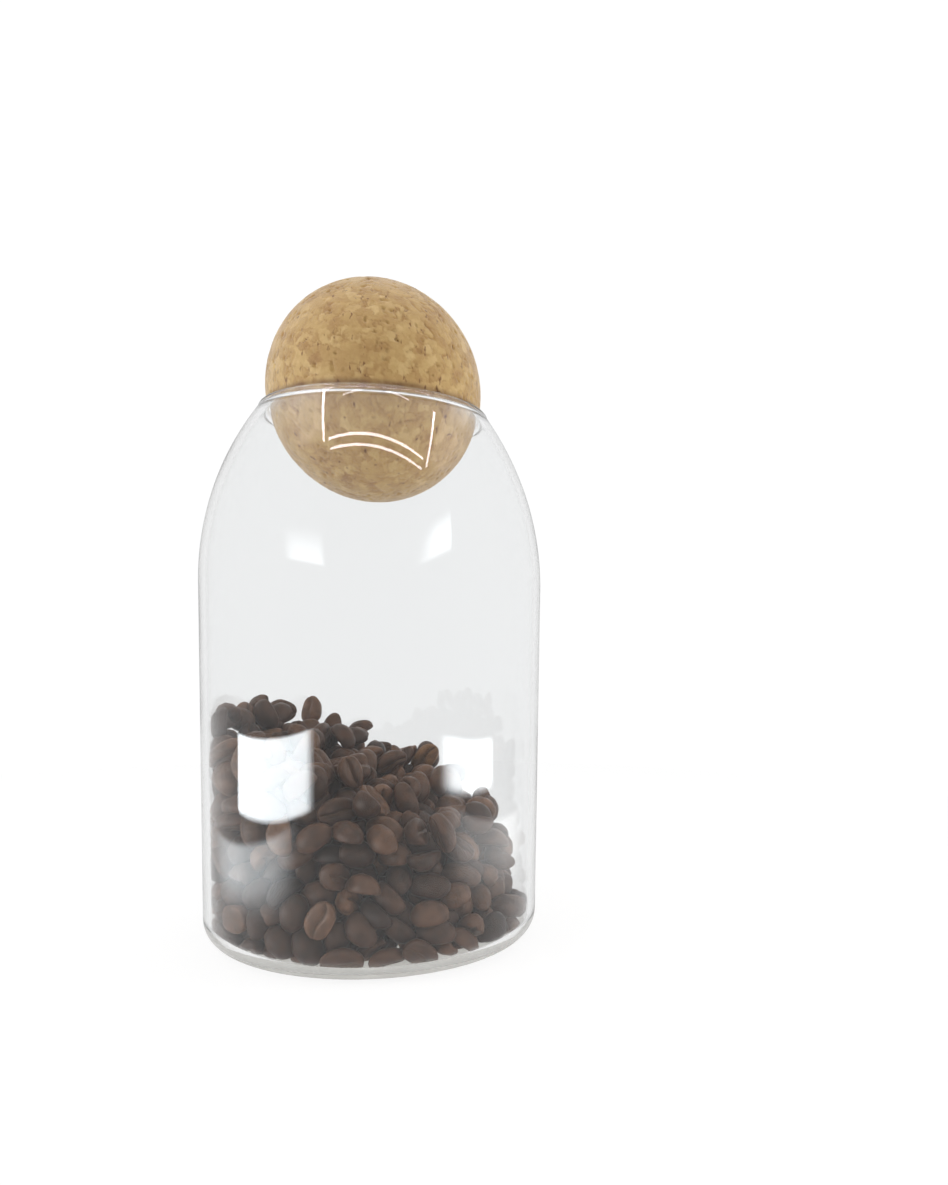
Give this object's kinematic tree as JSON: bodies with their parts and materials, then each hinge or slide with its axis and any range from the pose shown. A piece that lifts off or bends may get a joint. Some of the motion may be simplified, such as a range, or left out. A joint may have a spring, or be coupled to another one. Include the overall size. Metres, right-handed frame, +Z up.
{
  "type": "food storage canister",
  "caption": "Round glass storage jar with a curved-in shoulder and open mouth, closed by a loose cork ball, part-filled with roasted coffee beans.",
  "frame": {"origin": "centre of the ring that the jar stands on, on the jar's axis", "axes": "+Z up along the jar's axis to the cork ball; the heap of beans is highest towards -X"},
  "size_m": [0.1, 0.1, 0.1932],
  "materials": {
    "glass": "clear, polished",
    "roasted_coffee": "dry roasted beans, faint sheen",
    "cork": "agglomerated granules, turned and sanded, matte"
  },
  "bodies": {
    "jar": {"glass_jar": "glass", "coffee_beans": "roasted_coffee"},
    "stopper": {"cork_ball_stopper": "cork"}
  },
  "joints": [
    {"name": "stopper_lift", "type": "slide", "parent": "jar", "child": "stopper", "axis": [0, 0, 1], "range_m": [0, 0.1]}
  ]
}
